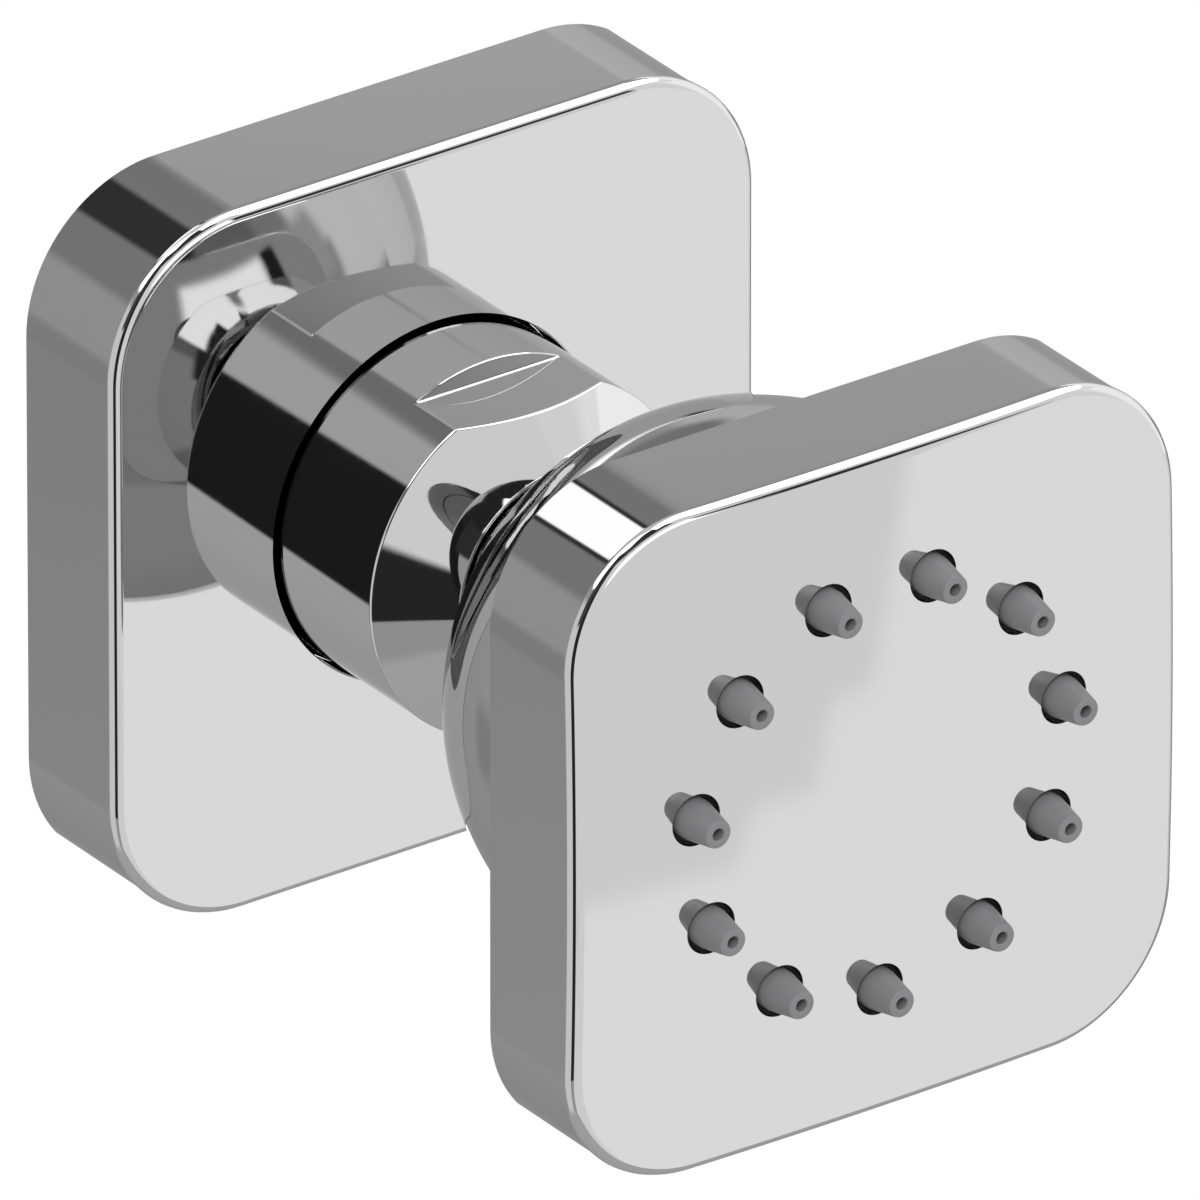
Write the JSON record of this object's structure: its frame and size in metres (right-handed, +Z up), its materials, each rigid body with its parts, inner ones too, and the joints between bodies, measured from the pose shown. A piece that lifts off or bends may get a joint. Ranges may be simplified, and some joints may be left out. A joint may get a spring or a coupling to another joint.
{
  "type": "shower body jet",
  "caption": "Wall-mounted shower body jet: square escutcheon, short barrel with a swivel ball, and a domed-back square spray head with a ring of soft nozzles.",
  "frame": {"origin": "centre of the inlet thread's mouth, in the wall plane", "axes": "+Y into the wall along the jet's axis, -Y towards the room, +Z up"},
  "size_m": [0.064, 0.0772, 0.064],
  "materials": {
    "chrome": "mirror-polished chrome plate",
    "brass": "turned, unplated",
    "stainless": "plain",
    "rubber_black": "matte",
    "foam_black": "closed-cell foam",
    "silicone_grey": "satin silicone",
    "acetal_white": "moulded"
  },
  "bodies": {
    "wall_body": {"wall_gasket": "foam_black", "wall_escutcheon": "chrome", "escutcheon_o_ring": "rubber_black", "barrel": "chrome", "inlet_adapter": "brass", "adapter_o_ring": "rubber_black", "inlet_washer": "rubber_black", "debris_screen": "stainless", "flow_regulator": "acetal_white", "seat_spring": "stainless", "ball_seal": "rubber_black", "front_ball_ring": "acetal_white"},
    "seat": {"ball_seat": "acetal_white"},
    "ball": {"swivel_ball": "chrome", "stem_washer": "rubber_black"},
    "head": {"back_cover": "chrome", "cover_screws": "stainless", "chamber_gasket": "silicone_grey", "clamp_plate": "acetal_white", "nozzle_mat": "silicone_grey", "face_cup": "chrome"}
  },
  "joints": [
    {"name": "seat_turn", "type": "hinge", "parent": "wall_body", "child": "seat", "pos_m": [0, -0.0225, 0], "axis": [0, 1, 0], "continuous": true},
    {"name": "head_tilt", "type": "hinge", "parent": "seat", "child": "ball", "pos_m": [0, -0.0225, 0], "axis": [1, 0, 0], "range_deg": [-15, 15]},
    {"name": "head_turn", "type": "hinge", "parent": "ball", "child": "head", "pos_m": [0, -0.0225, 0], "axis": [0, 1, 0], "continuous": true}
  ]
}
